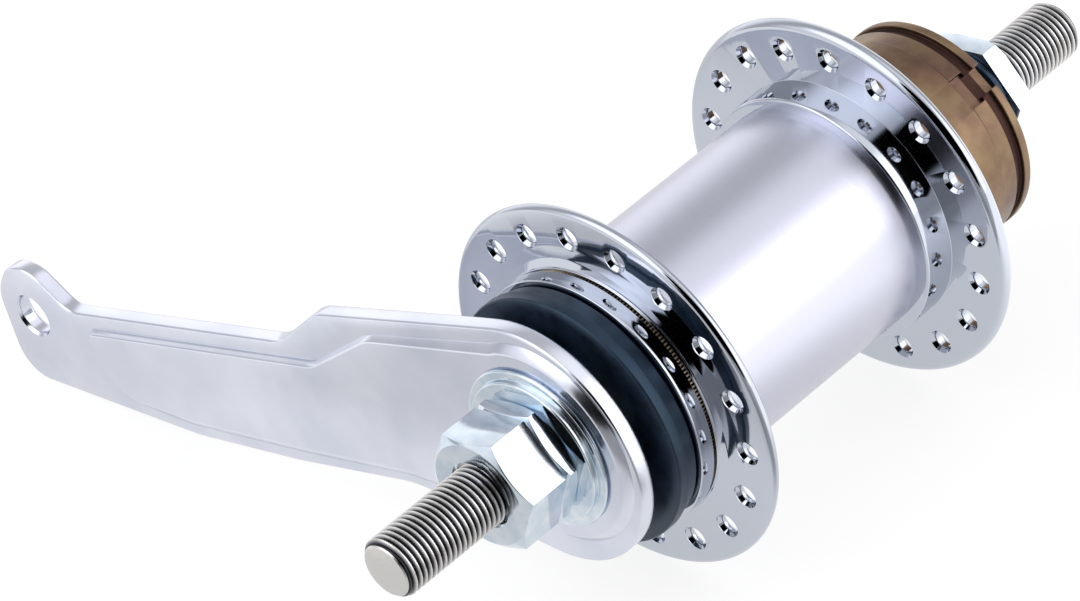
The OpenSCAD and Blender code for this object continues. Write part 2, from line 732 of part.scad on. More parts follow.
// Rotor that keeps the rollers apart and drives the clutch cone when pedalled back
module roller_guide() {
    pocket = roller_d + 0.2;
    pocket_floor = guide_back - 0.1;
    color(brown_steel) difference() {
        union() {
            bar(guide_r, guide_front, guide_end);
            rotate([-90, 0, 0]) for (k = [0 : rollers - 1]) rotate([0, 0, k * 360 / rollers])
                translate([dog_start_r, 0, guide_front]) mirror([0, 0, 1]) dog(4.4, 2.6);
        }
        bar(guide_ring_r, guide_front - dog_h - over, guide_back + over);
        bar(guide_inner_r, guide_back, guide_end + over);
        rotate([-90, 0, 0]) for (k = [0 : rollers - 1]) rotate([0, 0, k * 360 / rollers])
            translate([guide_inner_r - over, -pocket / 2, pocket_floor])
                cube([guide_r - guide_inner_r + 2 * over, pocket, guide_end - pocket_floor + over]);
    }
}

module roller(k) {
    edge = 0.3;
    color(ball_steel) rotate([-90, 0, 0]) rotate([0, 0, (k - 1) * 360 / rollers])
        translate([roller_pitch_r, 0, 0]) rotate_extrude() polygon([[0, roller_start],
            [roller_r - edge, roller_start], [roller_r, roller_start + edge],
            [roller_r, roller_end - edge], [roller_r - edge, roller_end], [0, roller_end]]);
}

module roller_1() {
    roller(1);
}

module roller_2() {
    roller(2);
}

module roller_3() {
    roller(3);
}

module roller_4() {
    roller(4);
}

module roller_5() {
    roller(5);
}

// Sliding cone that spreads the shoes when the rider pedals back
module clutch_cone() {
    color(dark_steel) difference() {
        union() {
            turned([[0, clutch_tip], [clutch_nose_r, clutch_tip], [clutch_nose_r, clutch_front - taper_len],
                [taper_tip_r, clutch_front - taper_len], [left_neck_r, clutch_front],
                [plate_r, clutch_front], [plate_r, plate_back], [0, plate_back]]);
            rotate([-90, 0, 0]) for (k = [0 : rollers - 1]) rotate([0, 0, (k + 0.5) * 360 / rollers])
                translate([dog_start_r, 0, plate_back]) dog(4, 2.2);
        }
        bar(axle_hole_r, clutch_tip - over, plate_back + dog_h + over);
        bar(spigot_r + pass_gap, plate_back, plate_back + dog_h + over);
    }
}

// The three shoes as one ring, before it is cut apart
module shoe_ring() {
    inner_r = taper_tip_r + shoe_play;
    base_r = left_neck_r + shoe_play;
    wire_r = shoe_wire_d / 2;
    groove_r = shoe_r - pass_gap - shoe_wire_d - shoe_rise - end_gap;
    groove_half = wire_r + 0.2;
    turned([[base_r - (shoe_left - taper_start) * tan(taper_angle), shoe_left], [shoe_r, shoe_left],
        [shoe_r, shoe_mid - groove_half], [groove_r, shoe_mid - groove_half],
        [groove_r, shoe_mid + groove_half], [shoe_r, shoe_mid + groove_half], [shoe_r, shoe_right],
        [base_r - (clutch_front - shoe_right) * tan(taper_angle), shoe_right],
        [inner_r, clutch_front - taper_len], [inner_r, taper_start + taper_len]]);
}

// One shoe: the sector of the ring between two gaps
module brake_shoe(k) {
    reach = 3 * shoe_r;
    half = 180 / shoes;
    corner = shoe_gap / 2 / sin(half);
    middle = 90 + half + (k - 1) * 360 / shoes;
    color(dark_steel) intersection() {
        shoe_ring();
        rotate([0, -middle, 0]) translate([0, shoe_left - over, 0]) rotate([-90, 0, 0])
            linear_extrude(shoe_right - shoe_left + 2 * over)
                polygon([[corner, 0], [reach, (reach - corner) * tan(half)],
                    [reach, -(reach - corner) * tan(half)]]);
    }
}

module brake_shoe_1() {
    brake_shoe(1);
}

module brake_shoe_2() {
    brake_shoe(2);
}

module brake_shoe_3() {
    brake_shoe(3);
}

// Open wire ring that draws the shoes back onto the cones
module shoe_spring() {
    wire_r = shoe_wire_d / 2;
    ring_r = shoe_r - pass_gap - wire_r;
    opening = 60;
    gap = 3;
    color(ball_steel) difference() {
        hoop(ring_r, wire_r, shoe_mid);
        rotate([0, opening, 0]) translate([0, shoe_mid - wire_r - over, -gap / 2])
            cube([2 * ring_r, shoe_wire_d + 2 * over, gap]);
    }
}

axle();
left_locknut();
arm_nut();
arm_washer();
brake_arm();
left_dust_cap();
brake_cone();
drag_spring();
right_cone();
right_washer();
right_locknut();
hub_barrel();
left_flange();
right_flange();
left_ball_cup();
left_shell_ring();
right_ball_cup();
left_ball_cage();
left_balls();
right_outer_cage();
right_outer_balls();
right_inner_cage();
right_inner_balls();
driver();
driver_dust_ring();
roller_guide();
roller_1();
roller_2();
roller_3();
roller_4();
roller_5();
clutch_cone();
brake_shoe_1();
brake_shoe_2();
brake_shoe_3();
shoe_spring();
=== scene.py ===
import json
import math

import bpy
from mathutils import Matrix, Vector


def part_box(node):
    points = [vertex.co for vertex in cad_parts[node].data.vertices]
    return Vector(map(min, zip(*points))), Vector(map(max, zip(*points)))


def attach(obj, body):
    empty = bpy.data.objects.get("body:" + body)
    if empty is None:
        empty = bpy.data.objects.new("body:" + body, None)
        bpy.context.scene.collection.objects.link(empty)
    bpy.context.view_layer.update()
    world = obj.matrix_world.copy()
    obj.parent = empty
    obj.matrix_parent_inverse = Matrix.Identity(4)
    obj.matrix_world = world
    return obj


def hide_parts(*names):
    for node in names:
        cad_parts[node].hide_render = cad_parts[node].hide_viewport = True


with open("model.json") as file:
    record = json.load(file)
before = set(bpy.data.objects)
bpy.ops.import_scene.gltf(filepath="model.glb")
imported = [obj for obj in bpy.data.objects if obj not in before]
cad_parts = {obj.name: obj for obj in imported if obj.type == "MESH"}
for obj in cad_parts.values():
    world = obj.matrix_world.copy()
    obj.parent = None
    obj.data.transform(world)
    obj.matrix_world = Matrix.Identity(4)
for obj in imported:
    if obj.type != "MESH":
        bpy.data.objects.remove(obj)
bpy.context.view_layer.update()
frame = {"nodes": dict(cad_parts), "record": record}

# All sizes below are in millimetres, and all turns in degrees. The model is in metres.
MM = 0.001
PI = math.pi
TOUCH = MM / 1000  # points closer than this are one point

# Facets round a turned piece
STEPS = 160
SMALL_STEPS = 96
CORE_STEPS = 64
THREAD_STEPS = 40
HOLE_STEPS = 40
CHAMFER_STEPS = 120
BARREL_STEPS = 192


# Places and sizes from the frame

def ends(node):
    """Where a node starts and ends along the axle."""
    low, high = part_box(node)
    return low.y / MM, high.y / MM


def reach(node):
    """The radius of a turned node."""
    low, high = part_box(node)
    return (high.z - low.z) / 2 / MM


def mount(name):
    return next(m for m in frame["record"]["mounts"] if m["name"] == name)


axle_front, axle_back = ends("axle")
axle_r = reach("axle")
nut_front, nut_back = ends("left_locknut")
thin_front, thin_back = ends("arm_nut")
washer_front, washer_back = ends("arm_washer")
arm_front, arm_back = ends("brake_arm")
cap_front, cap_back = ends("left_dust_cap")
ring_front, ring_back = ends("left_shell_ring")
cup_front, cup_back = ends("left_ball_cup")
left_front, left_back = ends("left_flange")
right_front, right_back = ends("right_flange")
barrel_front, barrel_back = ends("hub_barrel")
driver_front, driver_back = ends("driver")
flange_r = reach("left_flange")
barrel_r = reach("hub_barrel")
floor_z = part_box("left_flange")[0].z
clip_hole = mount("arm_clip_hole")
clip_hole_r = clip_hole["dims"]["r_mm"]
arm_reach = math.hypot(clip_hole["pos_m"][0], clip_hole["pos_m"][2]) / MM
arm_dip = math.atan2(-clip_hole["pos_m"][2], -clip_hole["pos_m"][0])
spokes = mount("left_spoke_holes")["dims"]
spoke_circle_r = spokes["pcd_mm"] / 2
spoke_hole_r = spokes["hole_r_mm"]

# Sizes that a shape and its material share

knurl_depth = 0.3
driver_seat_r = 17.4
driver_groove_r = driver_seat_r - 0.7
driver_groove_back = driver_back - 1.5
driver_groove_front = driver_groove_back - 1.8


# Materials

def linear(hex_colour):
    """An sRGB hex colour as linear values with alpha."""
    parts = [int(hex_colour[i:i + 2], 16) / 255 for i in (1, 3, 5)]
    return [c / 12.92 if c <= 0.04045 else ((c + 0.055) / 1.055) ** 2.4 for c in parts] + [1]


def add_node(tree, kind, settings=None, links=None):
    """Adds a node, sets its properties and sockets, and links its inputs."""
    node = tree.nodes.new(kind)
    for key, value in (settings or {}).items():
        if isinstance(key, str) and hasattr(node, key):
            setattr(node, key, value)
        else:
            node.inputs[key].default_value = value
    for key, source in (links or {}).items():
        tree.links.new(source, node.inputs[key])
    return node


def maths(tree, operation, *values):
    """The result of a sum. Each value is a number or a node's output."""
    numbers, outputs = {"operation": operation}, {}
    for i, value in enumerate(values):
        (numbers if isinstance(value, (int, float)) else outputs)[i] = value
    return add_node(tree, "ShaderNodeMath", numbers, outputs).outputs["Value"]


def surface(name, colour, metallic, roughness, **sockets):
    """A material with a Principled shader. Returns it with its tree, shader and Object coordinates."""
    material = bpy.data.materials.new(name)
    material.use_nodes = True
    tree = material.node_tree
    shader = tree.nodes["Principled BSDF"]
    shader.inputs["Base Color"].default_value = linear(colour)
    shader.inputs["Metallic"].default_value = metallic
    shader.inputs["Roughness"].default_value = roughness
    for socket, value in sockets.items():
        shader.inputs[socket.replace("_", " ")].default_value = value
    place = add_node(tree, "ShaderNodeTexCoord").outputs["Object"]
    return material, tree, shader, place


def noise(tree, place, size, detail=3, stretch=(1, 1, 1)):
    """A noise pattern whose features are size millimetres across."""
    mapping = add_node(tree, "ShaderNodeMapping", {"Scale": stretch}, {"Vector": place})
    return add_node(tree, "ShaderNodeTexNoise", {"Scale": 1 / (size * MM), "Detail": detail},
                    {"Vector": mapping.outputs["Vector"]}).outputs["Fac"]


def from_axle(tree, place):
    """How far a point lies from the axle, in metres."""
    flat = add_node(tree, "ShaderNodeVectorMath", {"operation": "MULTIPLY", 1: (1, 0, 1)}, {0: place})
    return add_node(tree, "ShaderNodeVectorMath", {"operation": "LENGTH"},
                    {0: flat.outputs["Vector"]}).outputs["Value"]


def blend(tree, factor, colours, low=0.35, high=0.65):
    """Colours spread over the factor's range."""
    ramp = add_node(tree, "ShaderNodeValToRGB", links={"Fac": factor})
    stops = ramp.color_ramp.elements
    stops[0].position, stops[1].position = low, high
    for i in range(len(colours) - 2):
        stops.new(low + (high - low) * (i + 1) / (len(colours) - 1))
    for stop, colour in zip(stops, colours):
        stop.color = linear(colour)
    return ramp.outputs["Color"]


def spread(tree, factor, low, high, start=0, end=1, kind="LINEAR"):
    """The factor, as it goes from start to end, mapped to values from low to high."""
    return add_node(tree, "ShaderNodeMapRange", {
        "interpolation_type": kind, "From Min": start, "From Max": end, "To Min": low, "To Max": high},
        {"Value": factor}).outputs["Result"]


def bump(tree, shader, height, depth):
    """A relief of that depth in millimetres."""
    relief = add_node(tree, "ShaderNodeBump", {"Strength": 1, "Distance": depth * MM}, {"Height": height})
    tree.links.new(relief.outputs["Normal"], shader.inputs["Normal"])


def polished_chrome():
    """Buffed and chromium plated steel: a mirror with a lavender cast and faint buffing haze."""
    material, tree, shader, place = surface("polished chrome plate", "#C0C5CF", 1, 0.05)
    haze = noise(tree, place, 9, 4)
    tree.links.new(spread(tree, haze, 0.03, 0.085), shader.inputs["Roughness"])
    bump(tree, shader, noise(tree, place, 5, 2), 0.004)
    return material


def satin_chrome():
    """Ground and chromium plated tube: soft broad reflections, with grinding marks round it."""
    material, tree, shader, place = surface("satin chrome plate", "#CCCDDA", 1, 0.3)
    marks = noise(tree, place, 0.35, 4, (0.06, 1, 0.06))
    tree.links.new(spread(tree, marks, 0.24, 0.36), shader.inputs["Roughness"])
    bump(tree, shader, marks, 0.002)
    return material


def zinc_plate():
    """Turned and zinc plated steel with a clear blue chromate: bright, bluish, slightly cloudy."""
    material, tree, shader, place = surface("blue zinc plate", "#C9D3DC", 1, 0.2)
    cloud = noise(tree, place, 3.5, 5)
    tree.links.new(blend(tree, cloud, ["#C6D4E0", "#DFE6EC"]), shader.inputs["Base Color"])
    tree.links.new(spread(tree, cloud, 0.07, 0.15), shader.inputs["Roughness"])
    bump(tree, shader, noise(tree, place, 1.2, 4), 0.006)
    return material


def tumbled_nickel():
    """Stamped sheet steel, tumbled and nickel plated: a soft lavender gloss with fine dents."""
    material, tree, shader, place = surface("tumbled nickel plate", "#D8DCE8", 1, 0.26)
    dents = noise(tree, place, 2.6, 3)
    cloud = noise(tree, place, 14, 3)
    tree.links.new(blend(tree, cloud, ["#D2D6E3", "#DFE2EC"]), shader.inputs["Base Color"])
    tree.links.new(spread(tree, dents, 0.13, 0.23), shader.inputs["Roughness"])
    bump(tree, shader, dents, 0.012)
    return material


def black_sheet():
    """Pressed sheet steel with a baked black finish: dark navy with a satin sheen."""
    material, tree, shader, place = surface(
        "black baked enamel", "#141C28", 0, 0.34, Specular_Tint=linear("#A8CDF0"), Specular_IOR_Level=0.75)
    wear = noise(tree, place, 2.5, 5)
    tree.links.new(blend(tree, wear, ["#0E1520", "#1B2838"]), shader.inputs["Base Color"])
    tree.links.new(spread(tree, wear, 0.26, 0.42), shader.inputs["Roughness"])
    bump(tree, shader, noise(tree, place, 0.6, 3), 0.006)
    return material


def browned_steel():
    """Carbonitrided steel straight from the furnace: brown with tan and violet temper colours.
    The floor of the snap ring's groove is coloured dark brown."""
    material, tree, shader, place = surface("heat browned steel", "#8C7058", 0.85, 0.36)
    temper = blend(tree, noise(tree, place, 7, 4), ["#604740", "#7A624D", "#8E785B"], 0.3, 0.7)
    # The snap ring groove's floor, below the groove radius and within the groove's band along the axle, is
    # coloured dark brown.
    above = spread(tree, from_axle(tree, place), 0, 1,
                   (driver_groove_r + 0.1) * MM, (driver_groove_r + 0.5) * MM)
    along = add_node(tree, "ShaderNodeSeparateXYZ", links={"Vector": place}).outputs["Y"]
    middle = (driver_groove_front + driver_groove_back) / 2
    half = (driver_groove_back - driver_groove_front) / 2 + 0.05
    beside = maths(tree, "SUBTRACT", 1.0, maths(tree, "COMPARE", along, middle * MM, half * MM))
    off_groove_floor = maths(tree, "MAXIMUM", beside, above)
    groove_floor_colour = linear("#3A2520")
    groove_floor_tone = add_node(tree, "ShaderNodeMix", {"data_type": "RGBA", 6: groove_floor_colour}, {0: off_groove_floor, 7: temper})
    tree.links.new(groove_floor_tone.outputs[2], shader.inputs["Base Color"])
    tree.links.new(spread(tree, noise(tree, place, 1.5, 4), 0.28, 0.44), shader.inputs["Roughness"])
    bump(tree, shader, noise(tree, place, 0.5, 4, (0.2, 1, 0.2)), 0.006)
    return material


def thread_steel():
    """Rolled bright steel thread: bright crests and tip, dark towards the roots."""
    material, tree, shader, place = surface("rolled thread steel", "#8F8F90", 1, 0.3)
    radius = from_axle(tree, place)
    height = spread(tree, radius, 0, 1, (axle_r - 0.62) * MM, axle_r * MM)
    on_tip = maths(tree, "LESS_THAN", radius, (axle_r - 0.66) * MM)
    # Darker towards the thread's roots, bright on its crests and on the tip's end face.
    lightness_by_radius = maths(tree, "MAXIMUM", maths(tree, "MULTIPLY", on_tip, 0.92), height)
    tree.links.new(blend(tree, lightness_by_radius, ["#303134", "#84858A", "#E2E0DC"], 0.1, 0.9),
                   shader.inputs["Base Color"])
    grain = noise(tree, place, 0.5, 4)
    tree.links.new(spread(tree, grain, 0.2, 0.42), shader.inputs["Roughness"])
    bump(tree, shader, grain, 0.01)
    return material


def knurled_steel():
    """Straight knurl on the hardened cup: dark brown in its grooves and pale on its crests."""
    material, tree, shader, place = surface("oiled knurled steel", "#8A745F", 0.9, 0.35)
    crest_r = reach("left_ball_cup")
    height = spread(tree, from_axle(tree, place), 0, 1, (crest_r - knurl_depth) * MM, crest_r * MM)
    patchy = maths(tree, "ADD", height, maths(tree, "MULTIPLY_ADD", noise(tree, place, 0.8, 4), 0.5, -0.25))
    # The colour goes by height: dark brown at the knurl's roots, pale at its crests, with patches.
    tree.links.new(blend(tree, patchy, ["#2C1E17", "#8A6C50", "#D8C4A6"], 0.15, 0.85),
                   shader.inputs["Base Color"])
    return material


def hardened_steel():
    """Ground and hardened steel, dark grey and oily."""
    material, tree, shader, place = surface("ground hardened steel", "#7C7D80", 1, 0.28)
    marks = noise(tree, place, 0.5, 4, (0.1, 1, 0.1))
    tree.links.new(spread(tree, marks, 0.2, 0.36), shader.inputs["Roughness"])
    bump(tree, shader, marks, 0.003)
    return material


def ball_steel():
    """Lapped bearing steel: a near mirror."""
    material, tree, shader, place = surface("lapped bearing steel", "#C4C6C9", 1, 0.06)
    tree.links.new(spread(tree, noise(tree, place, 1, 3), 0.04, 0.1), shader.inputs["Roughness"])
    return material


def pressed_brass():
    """Pressed brass sheet of the ball cages, dull gold."""
    material, tree, shader, place = surface("pressed brass", "#B08D57", 1, 0.3)
    cloud = noise(tree, place, 2, 4)
    tree.links.new(blend(tree, cloud, ["#9C7A48", "#BF9C66"]), shader.inputs["Base Color"])
    return material


chrome = polished_chrome()
satin = satin_chrome()
zinc = zinc_plate()
nickel = tumbled_nickel()
black = black_sheet()
brown = browned_steel()
thread = thread_steel()
knurl_metal = knurled_steel()
hardened = hardened_steel()
balls = ball_steel()
brass = pressed_brass()


# Tools of the bench

def begin():
    """Leaves edit mode and deselects everything."""
    if bpy.context.object and bpy.context.object.mode != "OBJECT":
        bpy.ops.object.mode_set(mode="OBJECT")
    bpy.ops.object.select_all(action="DESELECT")


def pick(*pieces):
    """Selects the pieces alone, the first as the active one."""
    begin()
    for piece in pieces:
        piece.select_set(True)
    bpy.context.view_layer.objects.active = pieces[0]


def edit(piece, mode="VERT"):
    """Opens a piece in edit mode with nothing selected."""
    pick(piece)
    bpy.ops.object.mode_set(mode="EDIT")
    bpy.ops.mesh.select_mode(type=mode)
    bpy.ops.mesh.select_all(action="DESELECT")


def close_edit():
    bpy.ops.object.mode_set(mode="OBJECT")


def choose(piece, test, mode):
    """In edit mode, selects the edges whose two ends pass the test, or the points that pass it."""
    bpy.ops.mesh.select_mode(type=mode)
    bpy.ops.mesh.select_all(action="DESELECT")
    bpy.ops.object.mode_set(mode="OBJECT")
    mesh = piece.data
    if mode == "EDGE":
        for edge in mesh.edges:
            edge.select = test(*(mesh.vertices[i].co / MM for i in edge.vertices))
    else:
        for point in mesh.vertices:
            point.select = test(point.co / MM)
    bpy.ops.object.mode_set(mode="EDIT")


def modify(piece, kind, **settings):
    """Adds a modifier and applies it."""
    pick(piece)
    modifier = piece.modifiers.new(kind.lower(), kind)
    for key, value in settings.items():
        setattr(modifier, key, value)
    bpy.ops.object.modifier_apply(modifier=modifier.name)


def cut(piece, tool, operation="DIFFERENCE"):
    """Cuts a piece with a tool, which is used up."""
    modify(piece, "BOOLEAN", operation=operation, object=tool, solver="EXACT")
    bpy.data.objects.remove(tool)


def break_edges(piece, width, segments=2, angle=30):
    """Rounds the sharp edges."""
    modify(piece, "BEVEL", width=width * MM, segments=segments, limit_method="ANGLE",
           angle_limit=math.radians(angle), use_clamp_overlap=True)


def finish(piece, material, body, *replaced, angle=32):
    """Smooths and paints a piece, and puts it on its body in place of CAD nodes."""
    pick(piece)
    bpy.ops.object.shade_smooth_by_angle(angle=math.radians(angle))
    piece.data.materials.clear()
    piece.data.materials.append(material)
    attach(piece, body)
    if replaced:
        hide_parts(*replaced)


def rounded(corners, arc_steps=4, closed=True):
    """An outline whose corners [a, b, radius] are rounded to arcs."""
    points = []
    count = len(corners)
    for i, corner in enumerate(corners):
        here = Vector(corner[:2])
        radius = corner[2] if len(corner) > 2 else 0
        if radius == 0 or (not closed and i in (0, count - 1)):
            points.append(tuple(here))
            continue
        to_last = (Vector(corners[i - 1][:2]) - here).normalized()
        to_next = (Vector(corners[(i + 1) % count][:2]) - here).normalized()
        half = to_last.angle(to_next) / 2
        centre = here + (to_last + to_next).normalized() * radius / math.sin(half)
        start = here + to_last * radius / math.tan(half) - centre
        end = here + to_next * radius / math.tan(half) - centre
        turn = (start.angle_signed(end) + 3 * PI) % (2 * PI) - PI
        for k in range(arc_steps + 1):
            spin = Matrix.Rotation(-turn * k / arc_steps, 2)
            points.append(tuple(centre + spin @ start))
    return points


def single_point(name):
    """A new piece that is one point at the origin, in edit mode."""
    begin()
    bpy.ops.mesh.primitive_plane_add(size=MM, location=(0, 0, 0), enter_editmode=True)
    piece = bpy.context.object
    piece.name = piece.data.name = name
    bpy.ops.mesh.select_mode(type="VERT")
    bpy.ops.mesh.merge(type="CENTER")
    return piece


def outline(name, points, place):
    """A new piece that is a closed loop of edges. place turns an outline point into a place in space."""
    piece = single_point(name)
    spots = [Vector(place(*p)) * MM for p in points]
    bpy.ops.transform.translate(value=spots[0])
    for last, spot in zip(spots, spots[1:] + spots[:1]):
        bpy.ops.mesh.extrude_region_move(TRANSFORM_OT_translate={"value": spot - last})
    bpy.ops.mesh.select_all(action="SELECT")
    bpy.ops.mesh.remove_doubles(threshold=TOUCH)
    return piece


def spin_round(steps):
    """In edit mode, spins the selected half section round the axle to a closed skin."""
    bpy.ops.mesh.spin(steps=steps, angle=2 * PI, center=(0, 0, 0), axis=(0, 1, 0))
    bpy.ops.mesh.select_all(action="SELECT")
    bpy.ops.mesh.remove_doubles(threshold=TOUCH)
    bpy.ops.mesh.delete_loose()
    bpy.ops.mesh.select_all(action="SELECT")
    bpy.ops.mesh.normals_make_consistent(inside=False)


def turned(name, corners, steps=STEPS, arc_steps=4):
    """A piece turned on the lathe from its closed half section. Each corner of it has its radius, its place
    along the axle and the radius that rounds it."""
    piece = outline(name, rounded(corners, arc_steps), lambda r, y: (r, y, 0))
    spin_round(steps)
    close_edit()
    return piece


def flared_hole(r, flare, depth, front, back, place):
    """A cutting tool for a round hole that flares out at both faces and ends a little beyond them."""
    before, behind, curve = front - 0.5, back + 0.5, depth * 0.9
    tool = outline("hole", rounded([
        (0, before), (r + flare, before), (r + flare, front), (r, front + depth, curve),
        (r, back - depth, curve), (r + flare, back), (r + flare, behind), (0, behind)]),
        lambda r, y: (r, y, 0))
    spin_round(HOLE_STEPS)
    bpy.ops.transform.translate(value=Vector(place) * MM)
    close_edit()
    return tool


def slab(name, points, place, depth):
    """A flat outline given a thickness along the axle."""
    piece = outline(name, points, place)
    bpy.ops.mesh.edge_face_add()
    bpy.ops.mesh.extrude_region_move(TRANSFORM_OT_translate={"value": (0, depth * MM, 0)})
    bpy.ops.mesh.select_all(action="SELECT")
    bpy.ops.mesh.normals_make_consistent(inside=False)
    close_edit()
    return piece


def loft(name, top, on_top, foot, on_foot, depth):
    """A boss with a sloped wall from its top outline to its foot, which goes on straight to a depth."""
    piece = outline(name, top, on_top)
    close_edit()
    lower = outline(name + "_foot", foot, on_foot)
    close_edit()
    top_y, foot_y = (p.data.vertices[0].co.y / MM for p in (piece, lower))
    pick(piece, lower)
    bpy.ops.object.join()
    edit(piece, "EDGE")
    bpy.ops.mesh.select_all(action="SELECT")
    bpy.ops.mesh.bridge_edge_loops()
    choose(piece, lambda a, b: abs(a.y - top_y) + abs(b.y - top_y) < 0.01, "EDGE")
    bpy.ops.mesh.edge_face_add()
    choose(piece, lambda a, b: abs(a.y - foot_y) + abs(b.y - foot_y) < 0.01, "EDGE")
    bpy.ops.mesh.extrude_region_move(TRANSFORM_OT_translate={"value": (0, depth * MM, 0)})
    bpy.ops.mesh.edge_face_add()
    bpy.ops.mesh.select_all(action="SELECT")
    bpy.ops.mesh.normals_make_consistent(inside=False)
    close_edit()
    return piece


def copies_round(piece, count, first=0):
    """Copies a piece round the axle and joins the copies. first is the first one's turn, from +X towards
    +Z."""
    pieces = []
    for i in range(count):
        twin = piece.copy()
        twin.data = piece.data.copy()
        twin.data.transform(Matrix.Rotation(-math.radians(first) - 2 * PI * i / count, 4, "Y"))
        bpy.context.scene.collection.objects.link(twin)
        pieces.append(twin)
    bpy.data.objects.remove(piece)
    pick(*pieces)
    bpy.ops.object.join()
    return bpy.context.object


# Axle and nuts

thread_pitch = 25.4 / 26
thread_depth = 0.6134 * thread_pitch
nut_r = 17 / 2
nut_corner_r = nut_r / math.cos(PI / 6)
nut_chamfer = PI / 6
left_nuts_turn = 7.3
right_nut_turn = 4.6


def threaded_rod(name, start, end, tip_is_start):
    """A length of rolled thread whose outer tip is chamfered and slightly domed."""
    root_r = axle_r - thread_depth
    turns = math.ceil((end - start) / thread_pitch) + 2
    crest, valley = thread_pitch / 7, thread_pitch / 5
    flank = (thread_pitch - crest - valley) / 2
    spare = 0.2
    rod = single_point(name)
    bpy.ops.transform.translate(value=(root_r * MM, (start - thread_pitch) * MM, 0))
    for rise, along in ((0, valley), (thread_depth, flank), (0, crest), (-thread_depth, flank)):
        bpy.ops.mesh.extrude_region_move(TRANSFORM_OT_translate={"value": (rise * MM, along * MM, 0)})
    close_edit()
    modify(rod, "SCREW", axis="Y", angle=2 * PI, screw_offset=thread_pitch * MM, iterations=turns,
           steps=THREAD_STEPS, render_steps=THREAD_STEPS, use_merge_vertices=True, merge_threshold=TOUCH)
    edit(rod)
    bpy.ops.mesh.select_all(action="SELECT")
    bpy.ops.mesh.remove_doubles(threshold=TOUCH)
    for place, side in ((start - spare, -1), (end + spare, 1)):
        bpy.ops.mesh.select_all(action="SELECT")
        bpy.ops.mesh.bisect(plane_co=(0, place * MM, 0), plane_no=(0, side, 0), clear_outer=True,
                            threshold=TOUCH / 10)
    bpy.ops.mesh.select_all(action="SELECT")
    bpy.ops.mesh.fill_holes(sides=0)
    bpy.ops.mesh.select_all(action="SELECT")
    bpy.ops.mesh.normals_make_consistent(inside=False)
    close_edit()
    tip, neck, inward = (start, end, 1) if tip_is_start else (end, start, -1)
    flat_r, edge_r, outer_r = 2.4, 3.9, axle_r + 0.5
    flat_drop, edge_drop, chamfer_drop = 0.05, 0.35, 1.9
    blank = turned(name + "_blank", [
        (0, tip), (flat_r, tip + flat_drop * inward, 2), (edge_r, tip + edge_drop * inward, 0.3),
        (outer_r, tip + chamfer_drop * inward), (outer_r, neck), (0, neck)], SMALL_STEPS)
    cut(rod, blank, "INTERSECT")
    return rod


def make_axle():
    """The two threaded ends and the plain core that joins them inside the hub."""
    core_r, overlap, cone_back = axle_r - 0.7, 1, ends("right_cone")[1]
    left = threaded_rod("axle", axle_front, thin_back, True)
    right = threaded_rod("axle_right", cone_back - overlap, axle_back, False)
    core = turned("axle_core", [
        (0, thin_back - overlap), (core_r, thin_back - overlap), (core_r, cone_back), (0, cone_back)],
        CORE_STEPS)
    pick(left, right, core)
    bpy.ops.object.join()
    finish(left, thread, "frame_side", "axle", angle=35)


def hex_nut(name, start, end, turn, chamfer_start, chamfer_end, face_r=nut_r - 0.35):
    """A hexagonal nut with a wide bore mouth. turn is its corners' place, and face_r is the round face that
    the chamfer leaves on the ends that have one."""
    begin()
    bpy.ops.mesh.primitive_cylinder_add(vertices=6, radius=nut_corner_r * MM, depth=(end - start) * MM,
                                        location=(0, (start + end) / 2 * MM, 0), rotation=(PI / 2, 0, 0))
    nut = bpy.context.object
    nut.name = nut.data.name = name
    bpy.ops.object.transform_apply(location=True, rotation=True, scale=True)
    first = max(math.degrees(math.atan2(p.co.z, p.co.x)) for p in nut.data.vertices) % 60
    nut.data.transform(Matrix.Rotation(-math.radians(turn - first), 4, "Y"))
    outer_r = nut_corner_r + 1
    drop = (outer_r - face_r) * math.tan(nut_chamfer)
    bore_r, mouth = axle_r + 0.05, 0.5
    corners = [(bore_r + mouth, start), (face_r if chamfer_start else outer_r, start)]
    if chamfer_start:
        corners.append((outer_r, start + drop))
    if chamfer_end:
        corners.append((outer_r, end - drop))
    corners += [(face_r if chamfer_end else outer_r, end), (bore_r + mouth, end), (bore_r, end - mouth),
                (bore_r, start + mouth)]
    cut(nut, turned(name + "_blank", corners, CHAMFER_STEPS), "INTERSECT")
    break_edges(nut, 0.18, 3, 20)
    return nut


def make_nuts():
    finish(hex_nut("left_locknut_body", nut_front, nut_back, left_nuts_turn, True, False), zinc,
           "frame_side", "left_locknut", angle=25)
    finish(hex_nut("arm_nut_body", thin_front, thin_back, left_nuts_turn, True, True), zinc,
           "frame_side", "arm_nut", angle=25)
    start, end = ends("right_locknut")
    finish(hex_nut("right_locknut_body", start, end, right_nut_turn, False, True, nut_r + 0.4), zinc,
           "frame_side", "right_locknut", angle=25)


